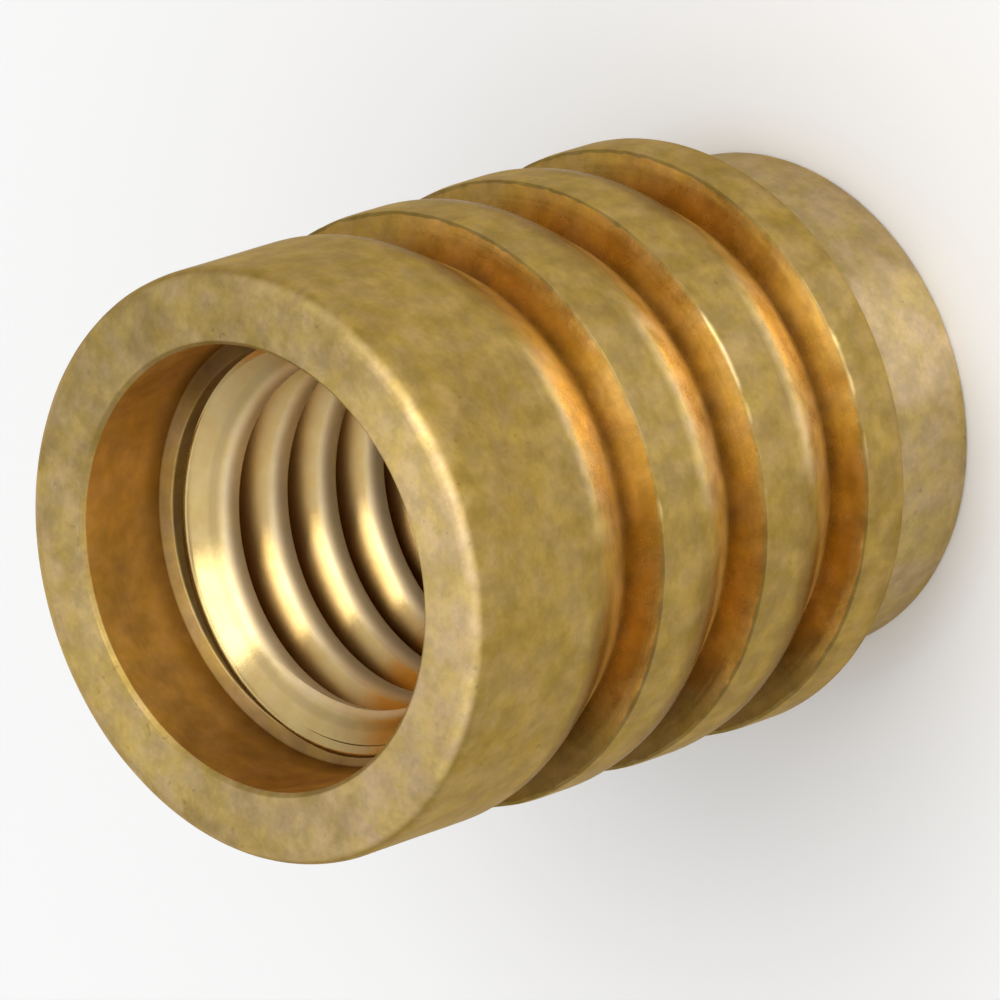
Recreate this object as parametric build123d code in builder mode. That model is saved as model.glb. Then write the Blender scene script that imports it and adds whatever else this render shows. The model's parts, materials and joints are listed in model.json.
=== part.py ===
from build123d import *
from math import isclose
import os

# Threaded insert, barbed and pressed in, turned from one brass bar. Lengths in millimetres.
# It stands on its nose: the origin is the centre of the nose end, +Z runs along the axis to the mouth.

# Thread, metric, right hand: the bore has the size of its crests
thread_major_radius = 3.0
thread_pitch = 1.0
thread_depth_share = 0.5413

# Mouth
counterbore_clearance = 0.13
counterbore_depth = 1.52
counterbore_lip_chamfer = 0.06
mouth_rounding = 0.28
lead_in_step = 0.14
lead_in_step_lean = 0.05
lead_in_length = 0.31

# Collar
collar_length = 2.51
collar_taper_length = 1.11
collar_relief = 0.05
collar_rear_rounding = 1.2

# Barbs
barb_count = 3
barb_pitch = 2.16
barb_height = 0.6
barb_wall_lean = 0.12
crest_width = 1.0
crest_rear_rounding = 1.2
root_wall = 0.65

# Nose, with the square shoulder of the last crest behind it
nose_wall = 0.61
nose_length = 2.08
nose_rounding = 0.1
shoulder_lean = 0.06
shoulder_rounding = 0.1
last_crest_width = 0.8
nose_countersink = 0.6

# Radii, from the thread outwards
thread_depth = thread_pitch * thread_depth_share
bore_radius = thread_major_radius - thread_depth
counterbore_radius = thread_major_radius + counterbore_clearance
root_radius = thread_major_radius + root_wall
crest_radius = root_radius + barb_height
collar_radius = crest_radius - collar_relief
nose_radius = thread_major_radius + nose_wall

# Heights above the nose end
last_crest_rear = nose_length + shoulder_lean
last_crest_front = last_crest_rear + last_crest_width
first_crest_front = last_crest_front + (barb_count - 1) * barb_pitch
first_root = first_crest_front + barb_wall_lean
collar_rear = first_root + collar_taper_length
mouth_height = collar_rear + collar_length
counterbore_floor = mouth_height - counterbore_depth
lead_in_top = counterbore_floor - lead_in_step


def barb_outline(crest_front, width):
    """Corners of one barb, from the rear of its crest to the root in front of its wall."""
    return [
        (crest_radius, crest_front - width),
        (crest_radius, crest_front),
        (root_radius, crest_front + barb_wall_lean),
    ]


def corners_at(sketch, radius):
    """Corners of a sketch at one radius, from the nose up."""
    return sketch.vertices().filter_by(lambda corner: isclose(corner.X, radius)).sort_by(Axis.Y)


outer_corners = barb_outline(last_crest_front, last_crest_width)
for barb in range(1, barb_count):
    outer_corners += barb_outline(last_crest_front + barb * barb_pitch, crest_width)

with BuildPart() as insert_body:
    with BuildSketch(Plane.XZ) as section:
        with BuildLine():
            Polyline(
                (bore_radius + nose_countersink, 0),
                (nose_radius, 0),
                (nose_radius, nose_length),
                *outer_corners,
                (collar_radius, collar_rear),
                (collar_radius, mouth_height),
                (counterbore_radius + counterbore_lip_chamfer, mouth_height),
                (counterbore_radius, mouth_height - counterbore_lip_chamfer),
                (counterbore_radius, counterbore_floor),
                (thread_major_radius, counterbore_floor),
                (thread_major_radius - lead_in_step_lean, lead_in_top),
                (bore_radius, lead_in_top - lead_in_length),
                (bore_radius, nose_countersink),
                close=True,
            )
        make_face()
        fillet(corners_at(section, crest_radius)[0], radius=shoulder_rounding)
        fillet(corners_at(section, crest_radius)[2::2], radius=crest_rear_rounding)
        fillet(corners_at(section, collar_radius)[0], radius=collar_rear_rounding)
        fillet(corners_at(section, collar_radius)[-1], radius=mouth_rounding)
        fillet(corners_at(section, nose_radius)[0], radius=nose_rounding)
    revolve(axis=Axis.Z)

insert_body.part.label = "insert_body"

os.makedirs("parts", exist_ok=True)
export_step(insert_body.part, "parts/insert_body.step")
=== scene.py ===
import json
import math

import bpy
from bpy.props import FloatProperty, FloatVectorProperty, IntProperty, PointerProperty
from mathutils import Matrix, Vector


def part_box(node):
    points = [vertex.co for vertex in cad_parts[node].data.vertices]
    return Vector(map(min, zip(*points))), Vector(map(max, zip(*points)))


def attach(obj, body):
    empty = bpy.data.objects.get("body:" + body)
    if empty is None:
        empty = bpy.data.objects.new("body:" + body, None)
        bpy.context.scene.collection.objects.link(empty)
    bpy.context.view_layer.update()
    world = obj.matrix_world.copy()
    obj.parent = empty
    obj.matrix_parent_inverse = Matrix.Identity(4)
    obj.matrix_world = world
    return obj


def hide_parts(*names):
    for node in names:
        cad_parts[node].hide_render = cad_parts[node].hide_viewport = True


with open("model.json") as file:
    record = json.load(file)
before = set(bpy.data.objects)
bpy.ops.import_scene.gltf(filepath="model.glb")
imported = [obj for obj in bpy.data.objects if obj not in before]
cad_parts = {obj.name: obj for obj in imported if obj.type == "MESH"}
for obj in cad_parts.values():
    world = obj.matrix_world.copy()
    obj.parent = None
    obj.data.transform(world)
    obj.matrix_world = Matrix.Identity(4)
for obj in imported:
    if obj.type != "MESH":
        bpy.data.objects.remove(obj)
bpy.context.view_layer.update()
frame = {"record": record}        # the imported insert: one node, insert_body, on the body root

bl_info = {
    "name": "Barbed Threaded Insert",
    "version": (1, 0, 0),
    "blender": (4, 5, 0),
    "location": "View3D > Sidebar > Insert",
    "description": "Models a press-in brass insert with barbs and an internal thread, and its plain stage",
    "category": "Add Mesh",
}

NODE = "insert_body"
BODY = "root"
MM = 0.001

HALF_WIDTH = min(abs(side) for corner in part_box(NODE) for side in corner.xy)
MOUNTS = {mount["name"]: mount for mount in frame["record"]["mounts"]}

# Fineness of the mesh, with lengths in millimetres
ARC_STEPS = 6
OUTLINE_SPACING = 0.12
SPIN_STEPS = 240
THREAD_ARC_STEPS = 5
THREAD_STEPS = 96  # in one turn
MERGE_DISTANCE = 0.001
SMOOTH_ANGLE = math.radians(30)
EDGE_MARGIN = 1.5  # how far past an edge a finish still counts, in edge breaks or in unevenness

# Thread form and the tap that cuts it
CREST_FLAT_SHARE = 1 / 4  # of the pitch
ROOT_FLAT_SHARE = 1 / 8  # of the pitch
SPARE_TURNS = 2
LOWER_TIP_TURNS = -2.5  # height of the tap's lower point
UPPER_TIP_TURNS = 1  # height of its upper point past the last turn

# Wear of the shape, with sizes in millimetres
UNEVEN_SIZE = 0.9
NICK_SIZE = 0.22
NICK_REACH = 3  # how far from an edge nicks go, in edge breaks

# Camera
SENSOR_WIDTH = 36
NEAR_CLIP = 10 * MM


def mount_size(name, size):
    """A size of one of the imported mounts, in metres."""
    return MOUNTS[name]["dims"][size] * MM


# Properties


def length(name, description, default):
    """A length property, in metres."""
    return FloatProperty(name=name, description=description, default=default, precision=5,
                         subtype="DISTANCE", unit="LENGTH")


def share(name, description, default):
    """A property between nought and one."""
    return FloatProperty(name=name, description=description, default=default, min=0, max=1,
                         subtype="FACTOR")


def colour(name, description, default):
    """A colour property, linear."""
    return FloatVectorProperty(name=name, description=description, default=default, size=3,
                               min=0, max=1, subtype="COLOR")


def turn(name, description, degrees):
    """An angle property."""
    return FloatProperty(name=name, description=description, default=math.radians(degrees),
                         subtype="ANGLE", unit="ROTATION")


class InsertSizes(bpy.types.PropertyGroup):
    """Sizes of the turned body and its thread."""

    mouth_height: length("Length", "Overall length, from the nose end to the mouth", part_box(NODE)[1].z)
    crest_radius: length("Barb radius", "Radius of the barbs' crests", HALF_WIDTH)
    bore_radius: length("Thread crest radius", "Radius of the thread's crests",
                        mount_size("thread", "r_mm"))
    counterbore_radius: length("Counterbore radius", "Radius of the plain mouth",
                               mount_size("counterbore", "r_mm"))
    thread_pitch: length("Thread pitch", "Height of one turn of the thread", 1.0 * MM)
    thread_major_radius: length("Thread root radius", "Radius of the thread's roots", 3.0 * MM)
    thread_start: length("Thread start", "Height of a root of the thread on the +X side", 0.83 * MM)
    thread_crest_rounding: length("Thread crest rounding", "Rounding of the thread's crests", 0.18 * MM)
    thread_root_rounding: length("Thread root rounding", "Rounding of the thread's roots", 0.07 * MM)
    counterbore_depth: length("Counterbore depth", "Depth of the plain mouth", 1.52 * MM)
    lip_chamfer: length("Lip chamfer", "Chamfer around the counterbore's edge", 0.06 * MM)
    lead_in_radius: length("Lead-in radius", "Radius of the step above the thread", 2.87 * MM)
    lead_in_step: length("Lead-in step", "Depth of the step above the thread", 0.26 * MM)
    lead_in_length: length("Lead-in length", "Length of the cone that leads into the thread", 0.31 * MM)
    mouth_rounding: length("Mouth rounding", "Rounding of the collar's front edge", 0.28 * MM)
    collar_length: length("Collar length", "Length of the plain collar", 2.51 * MM)
    collar_relief: length("Collar relief", "How far the collar stays below the barbs", 0.05 * MM)
    collar_rounding: length("Collar rounding", "Rounding of the collar's rear edge", 1.2 * MM)
    barb_count: IntProperty(name="Barbs", description="Number of barbs", default=3, min=1)
    barb_pitch: length("Barb pitch", "Distance from barb to barb", 2.16 * MM)
    barb_height: length("Barb height", "Depth of the grooves between the barbs", 0.6 * MM)
    barb_wall_lean: length("Wall lean", "How far a barb's steep wall leans back", 0.12 * MM)
    crest_width: length("Crest width", "Width of a barb's crest", 1.0 * MM)
    crest_rounding: length("Crest rounding", "Rounding of a crest's rear edge", 1.2 * MM)
    edge_break: length("Edge break", "Small rounding of the sharp edges", 0.025 * MM)
    nose_radius: length("Nose radius", "Radius of the plain nose", 3.61 * MM)
    nose_length: length("Nose length", "Length of the plain nose", 2.08 * MM)
    nose_rounding: length("Nose rounding", "Rounding of the nose's edge", 0.1 * MM)
    nose_countersink: length("Nose countersink", "Countersink of the thread at the nose", 0.6 * MM)
    shoulder_lean: length("Shoulder lean", "How far the shoulder behind the nose leans", 0.06 * MM)
    shoulder_rounding: length("Shoulder rounding", "Rounding of the shoulder's edge", 0.1 * MM)
    last_crest_width: length("Last crest width", "Width of the crest next to the nose", 0.8 * MM)
    unevenness: length("Unevenness", "Depth of the slow unevenness of the turned faces", 0.008 * MM)
    nick_depth: length("Nick depth", "Depth of the nicks along the barbs' edges", 0.03 * MM)

    @property
    def collar_radius(self):
        return self.crest_radius - self.collar_relief

    @property
    def root_radius(self):
        return self.crest_radius - self.barb_height

    @property
    def last_front(self):
        """Height of the front edge of the crest next to the nose."""
        return self.nose_length + self.shoulder_lean + self.last_crest_width

    @property
    def counterbore_floor(self):
        return self.mouth_height - self.counterbore_depth


class InsertFinish(bpy.types.PropertyGroup):
    """Colours and gloss of the brass."""

    olive: colour("Olive tarnish", "Tarnish of the collar and the crests", (0.36, 0.235, 0.058))
    pale: colour("Pale tarnish", "Lighter patches of the same tarnish", (0.45, 0.305, 0.092))
    clean: colour("Clean brass", "Untouched brass in the grooves between the barbs", (0.55, 0.33, 0.08))
    taper: colour("Taper brass", "Brass of the barbs' tapers", (0.56, 0.34, 0.085))
    # Painted shade: darker brass for the shoulders, tapers and grooves on the sides away from the painted
    # highlight
    painted_shade: colour("Browned brass", "Darker brass of shoulders and grooves that nothing rubs",
                    (0.20, 0.105, 0.022))
    # Painted highlight, partly wear: bright brass on the shoulders, tapers and front edges of one side
    wear_and_highlight: colour("Worn brass", "Rubbed edges and shoulders", (0.95, 0.72, 0.34))
    faced: colour("Faced brass", "Dull brass of the mouth's ring", (0.74, 0.535, 0.215))
    # Painted highlight of the mouth's ring
    bright_face: colour("Bright face", "Mouth's ring where it is handled most", (0.92, 0.67, 0.31))
    # Painted highlight of the nose's lower part; on the thread's first turn it is laid as a darker painted
    # shade band
    tip: colour("Nose brass", "Handled brass of the nose and of a band on the thread's first turn",
                (0.49, 0.36, 0.16))
    # Painted highlight: a brighter streak along the nose on the highlight side
    streak: colour("Nose streak", "Rubbed streak along the nose", (0.72, 0.55, 0.29))
    # Also laid as painted light on one side of the plain mouth's wall
    ledge: colour("Ledge brass", "Brass of the narrow ledge above the thread", (0.58, 0.42, 0.17))
    # The shaded copy of the plain mouth's wall; the orange brass is its lit copy
    shaded_bore: colour("Dull bore", "Browner brass of the plain mouth's wall", (0.53, 0.27, 0.055))
    # Also laid as painted light: on the barbs' walls at some sides, and on the lit side of the plain mouth's
    # wall
    bore: colour("Orange brass", "Orange brass of the plain mouth's wall and the barbs' walls",
                 (0.70, 0.37, 0.075))
    thread: colour("Thread brass", "Bright cut brass of the thread", (0.63, 0.47, 0.21))
    # Partly painted light: paler than the rest of the thread so that its crests read bright
    crest: colour("Thread crest brass", "Pale, dull brass of the thread's crests", (0.96, 0.77, 0.46))
    # Painted shade, partly residue, in the thread's roots
    residue_and_shade: colour("Thread residue", "Brown residue in the thread's roots", (0.40, 0.20, 0.045))
    # Dark specks, and painted shade in the grooves' corners and the plain mouth's depths
    grime_and_shade: colour("Grime", "Brown residue in specks and corners", (0.12, 0.055, 0.008))
    # The side where the barbs' and the nose's painted highlights sit
    highlight_side: turn("Rubbed side", "Side of the barbs' shoulders and the nose that is rubbed most", -39)
    # The side where painted shade darkens the grooves and shoulders most
    groove_shade_side: turn("Dark side", "Side where the grooves between the barbs are browned most", -134)
    # The side where the plain mouth's wall carries painted light
    bore_light_side: turn("Wiped side", "Side of the plain mouth's wall that is cleanest", 124)
    # The side of the ledge with the most painted shade and residue
    ledge_grime_and_shade_side: turn("Grimy side", "Side of the narrow ledge that holds most residue", 46)
    # The side where the mouth's ring carries its painted highlight
    highlit_side: turn("Handled side", "Side of the mouth's ring that is handled most", -92)
    turning: share("Turning marks", "How much the turning marks stretch the gloss across themselves", 0.75)
    outer_roughness: share("Outer roughness", "Roughness of the collar, barbs and nose", 0.44)
    bore_roughness: share("Bore roughness", "Roughness of the plain mouth's wall", 0.52)
    crest_roughness: share("Thread crest roughness", "Roughness of the thread's crests", 0.50)
    thread_roughness: share("Thread roughness", "Roughness of the thread", 0.20)


class InsertStage(bpy.types.PropertyGroup):
    """Floor, light and camera."""

    floor_size: length("Floor size", "Side of the floor", 1.2)
    floor_colour: colour("Floor", "Pale floor", (0.95, 0.95, 0.95))
    floor_roughness: share("Floor roughness", "Roughness of the floor", 0.9)
    floor_gloss: share("Floor gloss", "Strength of the floor's own reflections", 0.1)
    sky_dim: FloatProperty(name="Dim sky", description="Strength of the sky on its dim side", default=0.5)
    sky_bright: FloatProperty(name="Bright sky", description="Strength of the sky on its bright side",
                              default=1.1)
    sky_azimuth: turn("Sky azimuth", "Where the sky is brightest around the insert", 52)
    sky_elevation: turn("Sky elevation", "How high the sky is brightest", 35)
    softbox_power: FloatProperty(name="Softbox", description="Power of the softbox", default=0.22,
                                 unit="POWER")
    softbox_side: length("Softbox side", "Side of the square softbox", 160 * MM)
    softbox_distance: length("Softbox distance", "Distance of the softbox from the insert", 300 * MM)
    softbox_azimuth: turn("Softbox azimuth", "Where the softbox hangs around the insert", 86)
    softbox_elevation: turn("Softbox elevation", "How high the softbox hangs", 66)
    azimuth: turn("Azimuth", "Where the camera stands around the insert", 46.3)
    elevation: turn("Elevation", "How high the camera stands", 45.803)
    roll: turn("Roll", "Turn of the picture about the line of sight", -108.019)
    distance: length("Distance", "Distance of the camera from its aim", 194.58 * MM)
    aim: FloatVectorProperty(name="Aim", description="Point that the camera looks at", size=3,
                             default=(-0.1 * MM, -0.105 * MM, 5.934 * MM), precision=5,
                             subtype="XYZ", unit="LENGTH")
    lens: FloatProperty(name="Lens", description="Focal length on a 36 mm sensor", default=504,
                        subtype="DISTANCE_CAMERA", unit="CAMERA")


# Outlines of the turned section, in millimetres


def rounded_outline(corners, arc_steps):
    """Points along corners given as (radius, height, rounding), with an arc at each rounded corner."""
    points = []
    for index, (r, z, rounding) in enumerate(corners):
        here = Vector((r, z))
        if not rounding:
            points.append(here)
            continue
        back = (Vector(corners[index - 1][:2]) - here).normalized()
        ahead = (Vector(corners[index + 1][:2]) - here).normalized()
        half = back.angle(ahead) / 2
        centre = here + (back + ahead).normalized() * rounding / math.sin(half)
        start = here + back * rounding / math.tan(half) - centre
        sweep = math.copysign(math.pi - 2 * half, ahead.cross(back))
        for step in range(arc_steps + 1):
            points.append(centre + Matrix.Rotation(sweep * step / arc_steps, 2) @ start)
    return points


def spaced(points, spacing):
    """The same outline with points added so that no run is longer than the spacing."""
    filled = [points[0]]
    for start, end in zip(points, points[1:]):
        runs = max(1, math.ceil((end - start).length / spacing))
        filled += [start.lerp(end, run / runs) for run in range(1, runs + 1)]
    return filled


def body_corners(size):
    """Corners of the whole section, from the nose's countersink around the outside and back down the bore."""
    blank_bore = size.bore_radius - size.thread_crest_rounding
    sink = size.nose_countersink
    lead_in_top = size.counterbore_floor - size.lead_in_step
    lead_in_slope = size.lead_in_length / (size.lead_in_radius - size.bore_radius)
    corners = [
        (size.bore_radius + sink, 0, size.edge_break),
        (size.nose_radius, 0, size.nose_rounding),
        (size.nose_radius, size.nose_length, 0),
        (size.crest_radius, size.nose_length + size.shoulder_lean, size.shoulder_rounding),
    ]
    for barb in range(size.barb_count):
        front = size.last_front + barb * size.barb_pitch
        if barb:
            corners.append((size.crest_radius, front - size.crest_width, size.crest_rounding))
        corners.append((size.crest_radius, front, size.edge_break))
        corners.append((size.root_radius, front + size.barb_wall_lean, 0))
    corners += [
        (size.collar_radius, size.mouth_height - size.collar_length, size.collar_rounding),
        (size.collar_radius, size.mouth_height, size.mouth_rounding),
        (size.counterbore_radius + size.lip_chamfer, size.mouth_height, size.edge_break),
        (size.counterbore_radius, size.mouth_height - size.lip_chamfer, size.edge_break),
        (size.counterbore_radius, size.counterbore_floor, 0),
        (size.lead_in_radius, size.counterbore_floor, size.edge_break),
        (size.lead_in_radius, lead_in_top, 0),
        (blank_bore, lead_in_top - (size.lead_in_radius - blank_bore) * lead_in_slope, 0),
        (blank_bore, sink + size.bore_radius - blank_bore, 0),
    ]
    return [tuple(value / MM for value in corner) for corner in corners]


def thread_corners(size):
    """Corners of one pitch of the thread, crest to crest, with its root at height nought."""
    crest = size.bore_radius
    root = size.thread_major_radius
    middle = size.thread_pitch / 2
    crest_edge = middle * (1 - CREST_FLAT_SHARE)
    root_edge = middle * ROOT_FLAT_SHARE
    corners = [
        (crest, -middle, 0),
        (crest, -crest_edge, size.thread_crest_rounding),
        (root, -root_edge, size.thread_root_rounding),
        (root, root_edge, size.thread_root_rounding),
        (crest, crest_edge, size.thread_crest_rounding),
        (crest, middle, 0),
    ]
    return [tuple(value / MM for value in corner) for corner in corners]


# Modelling steps


def start_fresh():
    """Leaves edit mode and deselects everything."""
    if bpy.context.mode != "OBJECT":
        bpy.ops.object.mode_set(mode="OBJECT")
    bpy.ops.object.select_all(action="DESELECT")


def draw_outline(name, points):
    """A new object whose edges follow (radius, height) points in the XZ plane, left in edit mode."""
    start_fresh()
    bpy.ops.mesh.primitive_plane_add(size=1)
    piece = bpy.context.object
    piece.name = name
    bpy.ops.object.mode_set(mode="EDIT")
    bpy.ops.mesh.merge(type="CENTER")
    bpy.ops.transform.translate(value=(points[0].x, 0, points[0].y))
    for start, end in zip(points, points[1:]):
        step = end - start
        bpy.ops.mesh.extrude_region_move(TRANSFORM_OT_translate={"value": (step.x, 0, step.y)})
    return piece


def close_mesh():
    """Merges the seams of the mesh in edit mode and points its faces outwards."""
    bpy.ops.mesh.select_all(action="SELECT")
    bpy.ops.mesh.remove_doubles(threshold=MERGE_DISTANCE)
    bpy.ops.mesh.normals_make_consistent(inside=False)


def add_group(piece, name, wanted):
    """A vertex group of the vertices whose radius and height are wanted."""
    bpy.ops.object.mode_set(mode="EDIT")
    bpy.ops.mesh.select_mode(type="VERT")
    bpy.ops.mesh.select_all(action="DESELECT")
    bpy.ops.object.mode_set(mode="OBJECT")
    for vertex in piece.data.vertices:
        vertex.select = wanted(math.hypot(vertex.co.x, vertex.co.y), vertex.co.z)
    bpy.ops.object.mode_set(mode="EDIT")
    bpy.ops.object.vertex_group_add()
    piece.vertex_groups[-1].name = name
    bpy.ops.object.vertex_group_assign()
    bpy.ops.object.mode_set(mode="OBJECT")


def wear_in(piece, name, depth, scale, detail, group=""):
    """Presses clouds of a given scale into the surface, inwards only, and applies them."""
    clouds = bpy.data.textures.new(name, "CLOUDS")
    clouds.noise_scale = scale
    clouds.noise_depth = detail
    bpy.ops.object.modifier_add(type="DISPLACE")
    wear = piece.modifiers[-1]
    wear.texture = clouds
    wear.mid_level = 1
    wear.strength = depth
    wear.vertex_group = group
    bpy.ops.object.modifier_apply(modifier=wear.name)


def turn_blank(size):
    """The turned blank, with its bore still under size."""
    outline = rounded_outline(body_corners(size), ARC_STEPS)
    outline.append(outline[0])
    blank = draw_outline("threaded_insert", spaced(outline, OUTLINE_SPACING))
    bpy.ops.mesh.select_all(action="SELECT")
    bpy.ops.mesh.spin(steps=SPIN_STEPS, angle=2 * math.pi, center=(0, 0, 0), axis=(0, 0, 1))
    close_mesh()
    bpy.ops.object.mode_set(mode="OBJECT")
    return blank


def wear_blank(blank, size):
    """Slow unevenness all over, and nicks along the barbs' front edges."""
    near = NICK_REACH * size.edge_break / MM
    crest = size.crest_radius / MM
    fronts = [(size.last_front + barb * size.barb_pitch) / MM for barb in range(size.barb_count)]
    add_group(blank, "barb edges",
              lambda r, z: r > crest - near and any(abs(z - front) < near for front in fronts))
    wear_in(blank, "uneven turning", size.unevenness / MM, UNEVEN_SIZE, detail=2)
    wear_in(blank, "edge nicks", size.nick_depth / MM, NICK_SIZE, detail=1, group="barb edges")


def point_end(tap, tip, middle):
    """Closes the open end of the tap on the tip's side of its middle with a point at the tip's height."""
    bpy.ops.mesh.select_all(action="DESELECT")
    bpy.ops.mesh.select_mode(type="EDGE")
    bpy.ops.mesh.select_non_manifold(extend=False, use_wire=False, use_multi_face=False,
                                     use_non_contiguous=False, use_verts=False)
    bpy.ops.object.mode_set(mode="OBJECT")
    for edge in tap.data.edges:
        if edge.select:
            height = sum(tap.data.vertices[v].co.z for v in edge.vertices) / 2
            edge.select = (height < middle) == (tip < middle)
    bpy.ops.object.mode_set(mode="EDIT")
    bpy.ops.mesh.extrude_region_move()
    bpy.ops.transform.resize(value=(0, 0, 0), center_override=(0, 0, tip))


def make_tap(size):
    """A rod with the thread's form on its outside, longer than the bore at both ends."""
    pitch = size.thread_pitch / MM
    turns = math.ceil(size.mouth_height / size.thread_pitch) + SPARE_TURNS
    tap = draw_outline("thread_tap", rounded_outline(thread_corners(size), THREAD_ARC_STEPS))
    bpy.ops.mesh.select_all(action="SELECT")
    bpy.ops.transform.translate(value=(0, 0, size.thread_start / MM - SPARE_TURNS * pitch))
    bpy.ops.object.mode_set(mode="OBJECT")
    bpy.ops.object.modifier_add(type="SCREW")
    screw = tap.modifiers[-1]
    screw.axis = "Z"
    screw.angle = 2 * math.pi
    screw.screw_offset = pitch
    screw.iterations = turns
    screw.steps = screw.render_steps = THREAD_STEPS
    bpy.ops.object.modifier_apply(modifier=screw.name)
    bpy.ops.object.mode_set(mode="EDIT")
    close_mesh()
    middle = (turns - SPARE_TURNS) * pitch / 2
    point_end(tap, LOWER_TIP_TURNS * pitch, middle)
    point_end(tap, (turns + UPPER_TIP_TURNS) * pitch, middle)
    close_mesh()
    bpy.ops.object.mode_set(mode="OBJECT")
    return tap


def cut_thread(blank, tap):
    """Cuts the tap out of the blank and removes it."""
    start_fresh()
    blank.select_set(True)
    bpy.context.view_layer.objects.active = blank
    bpy.ops.object.modifier_add(type="BOOLEAN")
    cut = blank.modifiers[-1]
    cut.operation = "DIFFERENCE"
    cut.solver = "EXACT"
    cut.object = tap
    bpy.ops.object.modifier_apply(modifier=cut.name)
    bpy.data.objects.remove(tap)


# Shader nodes


def fill_sockets(tree, node, sockets):
    """Links a node's input sockets to outputs, or sets them to values."""
    for key, value in sockets.items():
        if isinstance(value, bpy.types.NodeSocket):
            tree.links.new(value, node.inputs[key])
        else:
            node.inputs[key].default_value = value


def add_node(tree, kind, sockets=None, **settings):
    """A shader node with its settings and its filled input sockets."""
    node = tree.nodes.new("ShaderNode" + kind)
    for name, value in settings.items():
        setattr(node, name, value)
    fill_sockets(tree, node, sockets or {})
    return node


def calculate(tree, operation, first, second=0.0):
    """The outcome of one sum."""
    return add_node(tree, "Math", {0: first, 1: second}, operation=operation).outputs[0]


def both(tree, mask, *others):
    """A mask that is one only where all of some masks are."""
    for other in others:
        mask = calculate(tree, "MULTIPLY", mask, other)
    return mask


def either(tree, mask, *others):
    """A mask that is one where any of some masks is."""
    for other in others:
        mask = calculate(tree, "MAXIMUM", mask, other)
    return mask


def weaken(tree, mask, strength):
    """A mask at a share of its strength."""
    return calculate(tree, "MULTIPLY", mask, strength)


def fade(tree, value, reach, place=0.0):
    """A mask that goes smoothly from nought to one over a reach, which is counted from a place."""
    start, end = reach
    sockets = {"Value": value, "From Min": place + start, "From Max": place + end}
    return add_node(tree, "MapRange", sockets, interpolation_type="SMOOTHSTEP").outputs["Result"]


def between(tree, mask, low, high):
    """A value that follows a mask from low to high."""
    return add_node(tree, "MapRange", {"Value": mask, "To Min": low, "To Max": high}).outputs["Result"]


def around(tree, mask, middle, swing):
    """A value that follows a mask from a swing below its middle to a swing above it."""
    low = calculate(tree, "SUBTRACT", middle, swing)
    high = calculate(tree, "ADD", middle, swing)
    return between(tree, mask, low, high)


def lay_over(tree, mask, under, over, cover=1.0):
    """One colour laid over another by a mask, as far as it covers."""
    if cover < 1:
        mask = weaken(tree, mask, cover)
    sockets = {0: mask, 6: under, 7: over}
    return add_node(tree, "Mix", sockets, data_type="RGBA").outputs[2]


def multiply(tree, colour, factor):
    """A colour multiplied by another one, or by a value."""
    sockets = {0: 1.0, 6: colour, 7: factor}
    return add_node(tree, "Mix", sockets, data_type="RGBA", blend_type="MULTIPLY").outputs[2]


def noise(tree, point, feature, detail=2.0, roughness=0.5):
    """Noise from nought to one whose features have a given size, in millimetres."""
    sockets = {"Vector": point, "Scale": 1 / feature, "Detail": detail, "Roughness": roughness}
    return add_node(tree, "TexNoise", sockets).outputs["Fac"]


def vector_sum(tree, operation, sockets, output=0):
    """The outcome of one vector sum."""
    return add_node(tree, "VectorMath", sockets, operation=operation).outputs[output]


def rgba(value):
    """A property's colour as a node takes it."""
    return (*value, 1)


def new_group(name, inputs, outputs):
    """An empty shader node group with named sockets, with its input and output nodes' sockets."""
    group = bpy.data.node_groups.new(name, "ShaderNodeTree")
    for in_out, sockets in (("INPUT", inputs), ("OUTPUT", outputs)):
        for socket, kind in sockets.items():
            group.interface.new_socket(socket, in_out=in_out, socket_type="NodeSocket" + kind)
    given = group.nodes.new("NodeGroupInput").outputs
    result = group.nodes.new("NodeGroupOutput").inputs
    return group, given, result


def place_group(tree, group, **sockets):
    """The outputs of a node group placed in a tree with its own values."""
    node = tree.nodes.new("ShaderNodeGroup")
    node.node_tree = group
    fill_sockets(tree, node, {name.replace("_", " ").title(): value for name, value in sockets.items()})
    return node.outputs


# Effects that the brasses share


# Mottling: sizes in millimetres, and the stretch of each noise that counts
BLOTCH_SIZE = 0.36
HUE_SIZE = 0.42
HUE_SWING = 1.4  # against the swing of the tone
GRAIN_SIZE = 0.08
SPECK_SIZE = 0.13
SPECK_FIELD_SIZE = 1.3
BLOTCH_NOISE = (0.3, 0.7)
PATCH_NOISE = (0.34, 0.68)
SPECK_NOISE = (0.68, 0.78)
SPECK_FIELD_NOISE = (0.46, 0.66)

# Turning lines, in millimetres
LINES_PER_MM = 14.0
LINE_DRIFT = 0.05
LINE_DRIFT_SIZE = 2.5

# Reaches of the masks along a barb, in millimetres
FRONT_REACH = (0.08, 0.02)  # from the front edge
SHOULDER_SHARE = 0.1  # of the crest's rounding: how far its shoulder lies behind the crest
SHOULDER_REACH = (0.55, 0.15)  # from that shoulder
TAPER_START = (-0.4, 0.0)  # from that shoulder
TAPER_END = (-0.1, -0.6)  # from the next barb's front edge
WALL_FOOT = (-0.02, 0.02)  # from the groove's corner
WALL_TOP = (0.005, 0.03)  # below the crest
CORNER_REACH = (0.26, 0.02)  # from the groove's corner


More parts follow.
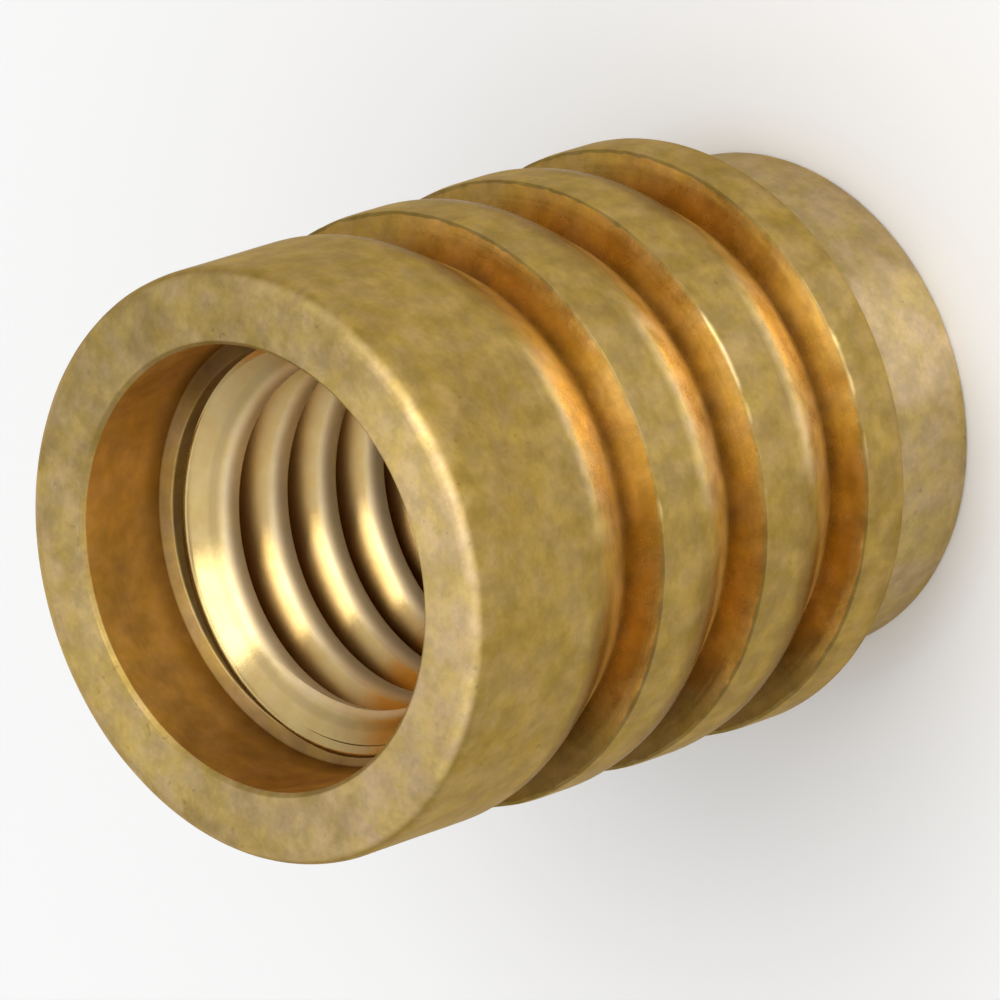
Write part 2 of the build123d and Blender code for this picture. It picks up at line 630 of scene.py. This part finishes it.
def turned_place_group():
    """Where a point of the turned body lies, in millimetres."""
    group, _, result = new_group("Turned Place", {},
                                 {"Point": "Vector", "Radius": "Float", "Height": "Float"})
    place = add_node(group, "TexCoord").outputs["Object"]
    point = vector_sum(group, "SCALE", {0: place, "Scale": 1 / MM})
    axes = add_node(group, "SeparateXYZ", {0: point}).outputs
    flat = add_node(group, "CombineXYZ", {"X": axes["X"], "Y": axes["Y"]}).outputs[0]
    group.links.new(point, result["Point"])
    group.links.new(vector_sum(group, "LENGTH", {0: flat}, "Value"), result["Radius"])
    group.links.new(axes["Z"], result["Height"])
    return group


def facing_side_group():
    """How far a point's side of the axis faces a given side, from minus one to one."""
    group, given, result = new_group("Facing Side", {"Point": "Vector", "Side": "Float"},
                                     {"Facing": "Float"})
    flat = vector_sum(group, "MULTIPLY", {0: given["Point"], 1: (1, 1, 0)})
    out = vector_sum(group, "NORMALIZE", {0: flat})
    side = add_node(group, "CombineXYZ", {"X": calculate(group, "COSINE", given["Side"]),
                                          "Y": calculate(group, "SINE", given["Side"])}).outputs[0]
    group.links.new(vector_sum(group, "DOT_PRODUCT", {0: out, 1: side}, "Value"), result["Facing"])
    return group


def mottling_group():
    """Soft patches, fine grain, sparse dark specks and a blotchy tone of handled brass."""
    group, given, result = new_group(
        "Mottling", {"Point": "Vector", "Patch Size": "Float", "Depth": "Float"},
        {"Patches": "Float", "Grain": "Float", "Specks": "Float", "Tone": "Color"})
    point = given["Point"]
    depth = given["Depth"]
    scaled = vector_sum(group, "DIVIDE", {0: point, 1: given["Patch Size"]})
    patches = fade(group, noise(group, scaled, feature=1, detail=4, roughness=0.62), PATCH_NOISE)
    grain = noise(group, point, GRAIN_SIZE, detail=3, roughness=0.6)
    specks = fade(group, noise(group, point, SPECK_SIZE, detail=1), SPECK_NOISE)
    field = fade(group, noise(group, point, SPECK_FIELD_SIZE, detail=1), SPECK_FIELD_NOISE)
    blotches = fade(group, noise(group, point, BLOTCH_SIZE, detail=3, roughness=0.6), BLOTCH_NOISE)
    hues = fade(group, noise(group, point, HUE_SIZE), BLOTCH_NOISE)
    light = around(group, blotches, 1.0, depth)
    warmth = around(group, hues, 1.0, calculate(group, "MULTIPLY", depth, HUE_SWING))
    blue = calculate(group, "MULTIPLY", light, warmth)
    tone = add_node(group, "CombineColor", {"Red": light, "Green": light, "Blue": blue}).outputs[0]
    group.links.new(patches, result["Patches"])
    group.links.new(grain, result["Grain"])
    group.links.new(both(group, specks, field), result["Specks"])
    group.links.new(tone, result["Tone"])
    return group


def turning_lines_group():
    """Fine lines around the axis, left by the lathe tool, along a value in millimetres."""
    group, given, result = new_group("Turning Lines", {"Point": "Vector", "Along": "Float"},
                                     {"Lines": "Float"})
    drift = calculate(group, "MULTIPLY", noise(group, given["Point"], LINE_DRIFT_SIZE), LINE_DRIFT)
    along = calculate(group, "ADD", given["Along"], drift)
    lines = add_node(group, "TexNoise", {"W": along, "Scale": LINES_PER_MM, "Detail": 3.0},
                     noise_dimensions="1D").outputs["Fac"]
    group.links.new(lines, result["Lines"])
    return group


def barb_edges_group(size):
    """Masks of the crests' front edges and rear shoulders, and of the grooves' tapers, walls and corners."""
    group, given, result = new_group("Barb Edges", {"Radius": "Float", "Height": "Float"},
                                     {"Front": "Float", "Shoulder": "Float", "Taper": "Float",
                                      "Wall": "Float", "Corner": "Float"})
    pitch = size.barb_pitch / MM
    shoulder = (size.crest_width + SHOULDER_SHARE * size.crest_rounding) / MM
    root = pitch - size.barb_wall_lean / MM
    top_front = (size.last_front + size.barb_count * size.barb_pitch) / MM
    from_top = calculate(group, "SUBTRACT", top_front, given["Height"])
    behind = calculate(group, "FLOORED_MODULO", from_top, pitch)
    below = calculate(group, "SUBTRACT", size.crest_radius / MM, given["Radius"])
    above = calculate(group, "SUBTRACT", given["Radius"], size.root_radius / MM)
    to_front = calculate(group, "MAXIMUM", calculate(group, "PINGPONG", behind, pitch / 2), below)
    to_shoulder = calculate(group, "ABSOLUTE", calculate(group, "SUBTRACT", behind, shoulder))
    to_root = calculate(group, "ABSOLUTE", calculate(group, "SUBTRACT", behind, root))
    to_corner = calculate(group, "MAXIMUM", to_root, above)
    masks = {
        "Front": fade(group, to_front, FRONT_REACH),
        "Shoulder": fade(group, to_shoulder, SHOULDER_REACH),
        "Taper": both(group, fade(group, behind, TAPER_START, shoulder),
                      fade(group, behind, TAPER_END, pitch)),
        "Wall": both(group, fade(group, behind, WALL_FOOT, root), fade(group, below, WALL_TOP)),
        "Corner": fade(group, to_corner, CORNER_REACH),
    }
    for name, mask in masks.items():
        group.links.new(mask, result[name])
    return group


# Brasses


EDGE_TINT = (0.85, 0.74, 0.58, 1)  # brass seen at a grazing angle
QUARTER_TURN = 0.25  # turns the stretched gloss across the turning marks
TURNED_DEPTH = 0.002 * MM  # of grain and turning lines
CUT_DEPTH = 0.0008 * MM  # of the thread's grain

# Sides: where the cosine of the angle from a side makes a mask nought and one; these masks place painted
# highlights, painted shade and painted light around the insert
HIGHLIGHT_FACING = (0.91, 0.995)
AWAY_FROM_HIGHLIGHT_FACING = (0.94, 0.72)
WALL_LIGHT_FACING = (0.25, 0.55)
DARK_FACING = (0.75, 1.0)
NOSE_HIGHLIGHT_FACING = (0.94, 1.0)
HIGHLIT_FACING = (0.1, 1.0)
BORE_LIGHT_FACING = (0.5, 1.0)
PALE_LIGHT_FACING = (-0.2, -0.8)
LEDGE_GRIME_AND_SHADE_FACING = (0.7, 0.95)

# Outside: reaches in millimetres, and how far each layer covers what is under it
OUTSIDE_MOTTLING = {"patch_size": 0.7, "depth": 0.13}
BARBS_START = (0.0, 0.1)  # from the top of the nose
COLLAR_START = (0.4, 0.1)  # from the collar's rear
GROOVE_REACH = (-0.06, -0.3)  # from the crest
NOSE_REACH = (-0.1, -0.8)  # from the top of the nose
RING_SHARES = (-1 / 2, -1 / 8)  # of the mouth's rounding
LIP_REACH = (0.03, -0.01)  # from the outside of the lip's chamfer
WEAR_SIZE = 0.5
WEAR_NOISE = (0.15, 0.5)
LEAST_WEAR = 0.1
FRONT_WEAR_SIZE = 0.9
FRONT_WEAR_NOISE = (0.5, 0.65)
DARK_COVER = 0.8
SHADED_COVER = 0.35
PAINTED_SHADE_COVER = 0.85
RING_PATCHES = (0.0, 0.55)
BRIGHT_PATCHES = (1.0, 0.65)
LIP_COVER = 0.6
CORNER_COVER = 0.3
SPECK_COVER = 0.25
GRAIN_TONE = (0.88, 1.12)
OUTER_ROUGHNESS_SWING = 0.05
RUBBED_GLOSS = 0.16  # how much smoother walls and rubbed places are

# Plain mouth
BORE_MOTTLING = {"patch_size": 0.6, "depth": 0.12}
LEDGE_MARGIN = 0.09  # past the thread's roots
DEEP_REACH = (0.45, 0.0)  # from the counterbore's floor
STEP_REACH = (-0.02, -0.05)  # from the counterbore's floor
BORE_TARNISH_SWING = 0.15
PALE_LIGHT_COVER = 0.8
DEEP_COVER = 0.65
BORE_ROUGHNESS_SWING = 0.04

# Thread
THREAD_MOTTLING = {"patch_size": 0.4, "depth": 0.04}
THREAD_PATCHES = (0.0, 0.3)
RESIDUE_START = (-0.5, -0.9)  # from the counterbore's floor
RESIDUE_MARGIN = 0.04  # from crests and roots
CREST_REACH = (0.14, 0.03)  # from the crests
FIRST_TURN = 1.2  # turns below the counterbore's floor
BAND_START = (0.0, 0.05)  # from the end of the first turn
BAND_INNER = (0.12, 0.17)  # from the crests
BAND_OUTER = (0.28, 0.22)  # from the crests
BAND_COVER = 0.75


def brass(name, roughness, turning):
    """A new brass material that scatters light across its turning marks, with its node tree and shader."""
    material = bpy.data.materials.new(name)
    material.use_nodes = True
    tree = material.node_tree
    shader = tree.nodes["Principled BSDF"]
    shader.inputs["Metallic"].default_value = 1
    shader.inputs["Roughness"].default_value = roughness
    shader.inputs["Specular Tint"].default_value = EDGE_TINT
    shader.inputs["Anisotropic"].default_value = turning
    shader.inputs["Anisotropic Rotation"].default_value = QUARTER_TURN
    return material, tree, shader


def bump_in(tree, shader, heights, depth):
    """Bump from the sum of some heights."""
    total = heights[0]
    for height in heights[1:]:
        total = calculate(tree, "ADD", total, height)
    bump = add_node(tree, "Bump", {"Height": total, "Strength": 1.0, "Distance": depth})
    tree.links.new(bump.outputs["Normal"], shader.inputs["Normal"])


def facing_side(tree, groups, place, side):
    """How far the surface lies towards a side."""
    return place_group(tree, groups["side"], point=place["Point"], side=side)["Facing"]


def barb_finish(tree, size, finish, groups, place, colour):
    """The tarnish with the barbs' grooves, walls and tapers laid over it, with a painted highlight of bright
    worn brass on one side, painted shade on the sides away from it and painted light on the walls between.

    Also gives masks of what is smoother than the rest and of the grooves' corners.
    """
    edges = place_group(tree, groups["edges"], radius=place["Radius"], height=place["Height"])
    collar_rear = (size.mouth_height - size.collar_length) / MM
    barbs = both(tree, fade(tree, place["Height"], BARBS_START, size.nose_length / MM),
                 fade(tree, place["Height"], COLLAR_START, collar_rear))
    wall = both(tree, edges["Wall"], barbs)
    shoulder = both(tree, edges["Shoulder"], barbs)
    groove = both(tree, fade(tree, place["Radius"], GROOVE_REACH, size.crest_radius / MM), barbs)
    groove = either(tree, groove, wall)
    taper = both(tree, edges["Taper"], groove)

    facing = facing_side(tree, groups, place, finish.highlight_side)
    # Painted shade on the sides away from the painted highlight, and on the grooves and shoulders of one more
    # side
    away_from_highlight = fade(tree, facing, AWAY_FROM_HIGHLIGHT_FACING)
    # Painted light: brighter orange brass on the walls at the sides between the painted highlight and the
    # painted shade
    wall_light = both(tree, wall, away_from_highlight, fade(tree, facing, WALL_LIGHT_FACING))
    dark = fade(tree, facing_side(tree, groups, place, finish.groove_shade_side), DARK_FACING)
    dark = both(tree, dark, either(tree, groove, shoulder))
    shaded = both(tree, taper, away_from_highlight)
    painted_shade = both(tree, shoulder, away_from_highlight)
    colour = lay_over(tree, groove, colour, rgba(finish.clean))
    colour = lay_over(tree, wall_light, colour, rgba(finish.bore))
    colour = lay_over(tree, taper, colour, rgba(finish.taper))
    # The next three layers are painted shade in darker brass
    colour = lay_over(tree, dark, colour, rgba(finish.painted_shade), DARK_COVER)
    colour = lay_over(tree, shaded, colour, rgba(finish.painted_shade), SHADED_COVER)
    colour = lay_over(tree, painted_shade, colour, rgba(finish.painted_shade), PAINTED_SHADE_COVER)

    stretches = fade(tree, noise(tree, place["Point"], FRONT_WEAR_SIZE), FRONT_WEAR_NOISE)
    patchy = fade(tree, noise(tree, place["Point"], WEAR_SIZE, detail=3), WEAR_NOISE)
    # Painted highlight, partly wear: bright brass in patches on the tapers, shoulders and front edges of the
    # highlight side
    wear_and_highlight = either(tree, edges["Taper"], LEAST_WEAR, both(tree, edges["Front"], stretches))
    wear_and_highlight = both(tree, wear_and_highlight, fade(tree, facing, HIGHLIGHT_FACING), patchy, barbs)
    colour = lay_over(tree, wear_and_highlight, colour, rgba(finish.wear_and_highlight))
    return colour, either(tree, wall, wear_and_highlight, painted_shade), both(tree, edges["Corner"], barbs)


def nose_finish(tree, size, finish, groups, place, colour):
    """The nose with a painted highlight, lighter on its lower part with a brighter streak on the highlight
    side, laid over the rest.
    """
    facing = facing_side(tree, groups, place, finish.highlight_side)
    # Painted highlight: lighter brass low on the nose, with a brighter streak on the highlight side
    nose = lay_over(tree, fade(tree, facing, NOSE_HIGHLIGHT_FACING), rgba(finish.tip), rgba(finish.streak))
    return lay_over(tree, fade(tree, place["Height"], NOSE_REACH, size.nose_length / MM), colour, nose)


def ring_finish(tree, size, finish, groups, place, patches, colour):
    """The mouth's dull ring, with a painted highlight of brighter brass on one side and darker at its lip,
    laid over the rest.
    """
    reach = [part * size.mouth_rounding / MM for part in RING_SHARES]
    ring = fade(tree, place["Height"], reach, size.mouth_height / MM)
    # Painted highlight: brighter brass in patches on one side of the ring
    highlit = fade(tree, facing_side(tree, groups, place, finish.highlit_side), HIGHLIT_FACING)
    bright = both(tree, highlit, between(tree, patches, *BRIGHT_PATCHES))
    faced = lay_over(tree, between(tree, patches, *RING_PATCHES), rgba(finish.faced), colour)
    faced = lay_over(tree, bright, faced, rgba(finish.bright_face))
    colour = lay_over(tree, ring, colour, faced)
    lip_radius = (size.counterbore_radius + size.lip_chamfer) / MM
    lip = both(tree, fade(tree, place["Radius"], LIP_REACH, lip_radius), ring)
    return lay_over(tree, lip, colour, rgba(finish.olive), LIP_COVER)


def outside_brass(size, finish, groups):
    """Satin brass of the collar, barbs, nose and mouth ring."""
    material, tree, shader = brass("satin_brass", finish.outer_roughness, finish.turning)
    place = place_group(tree, groups["place"])
    mottling = place_group(tree, groups["mottling"], point=place["Point"], **OUTSIDE_MOTTLING)
    patches = mottling["Patches"]
    colour = lay_over(tree, patches, rgba(finish.olive), rgba(finish.pale))
    colour, smooth, corner = barb_finish(tree, size, finish, groups, place, colour)
    colour = nose_finish(tree, size, finish, groups, place, colour)
    colour = ring_finish(tree, size, finish, groups, place, patches, colour)
    # Painted shade in the grooves' corners, with the dark specks that are real dirt
    grime_and_shade = either(tree, weaken(tree, corner, CORNER_COVER), weaken(tree, mottling["Specks"], SPECK_COVER))
    colour = lay_over(tree, grime_and_shade, colour, rgba(finish.grime_and_shade))
    colour = multiply(tree, colour, mottling["Tone"])
    colour = multiply(tree, colour, between(tree, mottling["Grain"], *GRAIN_TONE))
    tree.links.new(colour, shader.inputs["Base Color"])
    rough = around(tree, patches, finish.outer_roughness, OUTER_ROUGHNESS_SWING)
    rough = calculate(tree, "SUBTRACT", rough, weaken(tree, smooth, RUBBED_GLOSS))
    tree.links.new(rough, shader.inputs["Roughness"])
    along = calculate(tree, "ADD", place["Radius"], place["Height"])
    lines = place_group(tree, groups["lines"], point=place["Point"], along=along)
    bump_in(tree, shader, [mottling["Grain"], lines["Lines"]], TURNED_DEPTH)
    return material


def bore_brass(size, finish, groups):
    """Brass of the plain mouth's wall, with painted light on two of its sides and painted shade towards its
    floor, and of the ledge above the thread.
    """
    material, tree, shader = brass("bore_brass", finish.bore_roughness, finish.turning)
    place = place_group(tree, groups["place"])
    mottling = place_group(tree, groups["mottling"], point=place["Point"], **BORE_MOTTLING)
    patches = mottling["Patches"]
    floor = size.counterbore_floor / MM
    wall_start = size.thread_major_radius / MM + LEDGE_MARGIN
    wall = fade(tree, place["Radius"], (wall_start, size.counterbore_radius / MM))
    ledge = calculate(tree, "SUBTRACT", 1.0, wall)
    facing = facing_side(tree, groups, place, finish.bore_light_side)
    bore_light_and_tarnish = calculate(tree, "ADD", fade(tree, facing, BORE_LIGHT_FACING), around(tree, patches, 0.0, BORE_TARNISH_SWING))
    # Painted shade, partly grime: darker towards the floor, at the step and on one side of the ledge
    ledge_grime_and_shade = fade(tree, facing_side(tree, groups, place, finish.ledge_grime_and_shade_side), LEDGE_GRIME_AND_SHADE_FACING)
    deep_grime_and_shade = both(tree, fade(tree, place["Height"], DEEP_REACH, floor), wall)
    deep_grime_and_shade = either(tree, deep_grime_and_shade, fade(tree, place["Height"], STEP_REACH, floor), both(tree, ledge_grime_and_shade, ledge))
    # Painted light: orange brass on one side of the wall and pale brass on another, with random tarnish
    colour = lay_over(tree, bore_light_and_tarnish, rgba(finish.shaded_bore), rgba(finish.bore))
    colour = lay_over(tree, fade(tree, facing, PALE_LIGHT_FACING), colour, rgba(finish.ledge), PALE_LIGHT_COVER)
    colour = lay_over(tree, ledge, colour, rgba(finish.ledge))
    colour = lay_over(tree, deep_grime_and_shade, colour, rgba(finish.grime_and_shade), DEEP_COVER)
    tree.links.new(multiply(tree, colour, mottling["Tone"]), shader.inputs["Base Color"])
    rough = around(tree, patches, finish.bore_roughness, BORE_ROUGHNESS_SWING)
    tree.links.new(rough, shader.inputs["Roughness"])
    lines = place_group(tree, groups["lines"], point=place["Point"], along=place["Height"])
    bump_in(tree, shader, [lines["Lines"]], TURNED_DEPTH)
    return material


def thread_brass(size, finish, groups):
    """Bright cut brass of the thread, with paler, duller crests that are partly painted light, painted shade
    with residue in its roots, and a painted shade band on its first turn.
    """
    material, tree, shader = brass("thread_brass", finish.thread_roughness, finish.turning)
    place = place_group(tree, groups["place"])
    radius = place["Radius"]
    height = place["Height"]
    mottling = place_group(tree, groups["mottling"], point=place["Point"], **THREAD_MOTTLING)
    crest = size.bore_radius / MM
    root = size.thread_major_radius / MM
    floor = size.counterbore_floor / MM
    first_turn = floor - FIRST_TURN * size.thread_pitch / MM
    stained = between(tree, mottling["Patches"], *THREAD_PATCHES)
    # Painted shade, partly residue: darker roots below the first turns
    residue_and_shade = both(tree, fade(tree, radius, (crest + RESIDUE_MARGIN, root - RESIDUE_MARGIN)),
                   fade(tree, height, RESIDUE_START, floor))
    # Partly painted light: paler brass on the crests, which also have a duller finish
    dull = fade(tree, radius, CREST_REACH, crest)
    # Painted shade: a darker band along the flank of the thread's first turn
    band = both(tree, fade(tree, radius, BAND_INNER, crest), fade(tree, radius, BAND_OUTER, crest),
                fade(tree, height, BAND_START, first_turn))
    colour = lay_over(tree, stained, rgba(finish.thread), rgba(finish.clean))
    colour = lay_over(tree, residue_and_shade, colour, rgba(finish.residue_and_shade))
    colour = lay_over(tree, dull, colour, rgba(finish.crest))
    colour = lay_over(tree, band, colour, rgba(finish.tip), BAND_COVER)
    tree.links.new(multiply(tree, colour, mottling["Tone"]), shader.inputs["Base Color"])
    rough = between(tree, dull, finish.thread_roughness, finish.crest_roughness)
    tree.links.new(rough, shader.inputs["Roughness"])
    bump_in(tree, shader, [mottling["Grain"]], CUT_DEPTH)
    return material


def paint_zone(piece, material, wanted):
    """Gives a material to the faces whose radius and height, in millimetres, are wanted."""
    piece.data.materials.append(material)
    piece.active_material_index = len(piece.data.materials) - 1
    for face in piece.data.polygons:
        place = face.center / MM
        face.select = wanted(math.hypot(place.x, place.y), place.z)
    bpy.ops.object.mode_set(mode="EDIT")
    bpy.ops.mesh.select_mode(type="FACE")
    bpy.ops.object.material_slot_assign()
    bpy.ops.object.mode_set(mode="OBJECT")


def paint_body(piece, size, finish):
    """Brass finishes of the outside, the thread and the plain mouth."""
    groups = {
        "place": turned_place_group(),
        "side": facing_side_group(),
        "mottling": mottling_group(),
        "lines": turning_lines_group(),
        "edges": barb_edges_group(size),
    }
    lip = (size.mouth_height - size.lip_chamfer) / MM
    bore = (size.counterbore_radius + size.edge_break) / MM
    sink = size.nose_countersink / 2 / MM
    ledge = (size.counterbore_floor - EDGE_MARGIN * size.edge_break) / MM
    lead_in_top = (size.counterbore_floor - size.lead_in_step) / MM
    step = (size.lead_in_radius + EDGE_MARGIN * size.unevenness) / MM
    paint_zone(piece, outside_brass(size, finish, groups), lambda r, z: True)
    paint_zone(piece, thread_brass(size, finish, groups), lambda r, z: r < bore and sink < z < ledge)
    paint_zone(piece, bore_brass(size, finish, groups),
               lambda r, z: r < bore and ledge < z < lip or r < step and lead_in_top < z < lip)


# Stage


SKY_FACING = (-0.3, 1.0)  # where the sky goes from dim to bright, as a cosine


def direction(azimuth, elevation):
    """The way from the insert to a place around it."""
    turned = Matrix.Rotation(azimuth, 3, "Z") @ Matrix.Rotation(-elevation, 3, "X")
    return turned @ Vector((0, -1, 0))


def look_from(aim, azimuth, elevation, distance):
    """A place around the aim, and the turn that faces the aim from there."""
    place = Vector(aim) + direction(azimuth, elevation) * distance
    facing = (Vector(aim) - place).to_track_quat("-Z", "Y").to_matrix().to_4x4()
    return Matrix.Translation(place) @ facing


def lay_floor(stage):
    """The pale floor."""
    bpy.ops.mesh.primitive_plane_add(size=stage.floor_size)
    floor = bpy.context.object
    floor.name = "floor"
    paint = bpy.data.materials.new("pale_floor")
    paint.use_nodes = True
    shader = paint.node_tree.nodes["Principled BSDF"]
    shader.inputs["Base Color"].default_value = rgba(stage.floor_colour)
    shader.inputs["Roughness"].default_value = stage.floor_roughness
    shader.inputs["Specular IOR Level"].default_value = stage.floor_gloss
    floor.data.materials.append(paint)


def hang_sky(scene, stage):
    """A soft sky, brighter on one side."""
    world = bpy.data.worlds.new("studio")
    world.use_nodes = True
    tree = world.node_tree
    way = add_node(tree, "TexCoord").outputs["Generated"]
    bright = tuple(direction(stage.sky_azimuth, stage.sky_elevation))
    facing = vector_sum(tree, "DOT_PRODUCT", {0: way, 1: bright}, "Value")
    strength = between(tree, fade(tree, facing, SKY_FACING), stage.sky_dim, stage.sky_bright)
    background = tree.nodes["Background"]
    background.inputs["Color"].default_value = (1, 1, 1, 1)
    tree.links.new(strength, background.inputs["Strength"])
    scene.world = world


def hang_softbox(stage):
    """The square softbox that lights the thread."""
    bpy.ops.object.light_add(type="AREA")
    lamp = bpy.context.object
    lamp.name = "softbox"
    lamp.data.size = stage.softbox_side
    lamp.data.energy = stage.softbox_power
    lamp.matrix_world = look_from(stage.aim, stage.softbox_azimuth, stage.softbox_elevation,
                                  stage.softbox_distance)


def set_camera(scene, stage):
    """The camera at the photograph's angle."""
    bpy.ops.object.camera_add()
    camera = bpy.context.object
    camera.name = "camera"
    camera.data.lens = stage.lens
    camera.data.sensor_width = SENSOR_WIDTH
    camera.data.clip_start = NEAR_CLIP
    view = look_from(stage.aim, stage.azimuth, stage.elevation, stage.distance)
    camera.matrix_world = view @ Matrix.Rotation(stage.roll, 4, "Z")
    scene.camera = camera


# Operators and panel


class INSERT_OT_turned_body(bpy.types.Operator):
    """Turn the body with its barbs and cut its thread"""

    bl_idname = "insert.turned_body"
    bl_label = "Turned Body"
    bl_options = {"REGISTER", "UNDO"}

    def execute(self, context):
        size = context.scene.insert_sizes
        finish = context.scene.insert_finish
        blank = turn_blank(size)
        wear_blank(blank, size)
        cut_thread(blank, make_tap(size))
        blank.scale = (MM, MM, MM)
        bpy.ops.object.transform_apply(location=False, rotation=False, scale=True)
        bpy.ops.object.shade_smooth_by_angle(angle=SMOOTH_ANGLE)
        paint_body(blank, size, finish)
        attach(blank, BODY)
        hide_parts(NODE)
        return {"FINISHED"}


class INSERT_OT_stage(bpy.types.Operator):
    """Lay the floor, light it and set the camera"""

    bl_idname = "insert.stage"
    bl_label = "Stage"
    bl_options = {"REGISTER", "UNDO"}

    def execute(self, context):
        stage = context.scene.insert_stage
        start_fresh()
        lay_floor(stage)
        hang_sky(context.scene, stage)
        hang_softbox(stage)
        set_camera(context.scene, stage)
        context.scene.view_settings.view_transform = "Standard"
        return {"FINISHED"}


class INSERT_PT_panel(bpy.types.Panel):
    """Insert tools in the sidebar"""

    bl_idname = "INSERT_PT_panel"
    bl_label = "Threaded Insert"
    bl_space_type = "VIEW_3D"
    bl_region_type = "UI"
    bl_category = "Insert"

    def draw(self, context):
        layout = self.layout
        layout.operator(INSERT_OT_turned_body.bl_idname)
        layout.operator(INSERT_OT_stage.bl_idname)


CLASSES = (
    InsertSizes,
    InsertFinish,
    InsertStage,
    INSERT_OT_turned_body,
    INSERT_OT_stage,
    INSERT_PT_panel,
)


def register():
    for cls in CLASSES:
        bpy.utils.register_class(cls)
    bpy.types.Scene.insert_sizes = PointerProperty(type=InsertSizes)
    bpy.types.Scene.insert_finish = PointerProperty(type=InsertFinish)
    bpy.types.Scene.insert_stage = PointerProperty(type=InsertStage)


def unregister():
    del bpy.types.Scene.insert_stage
    del bpy.types.Scene.insert_finish
    del bpy.types.Scene.insert_sizes
    for cls in reversed(CLASSES):
        bpy.utils.unregister_class(cls)


def main():
    register()
    bpy.ops.insert.turned_body()
    bpy.ops.insert.stage()


if __name__ == "__main__":
    main()
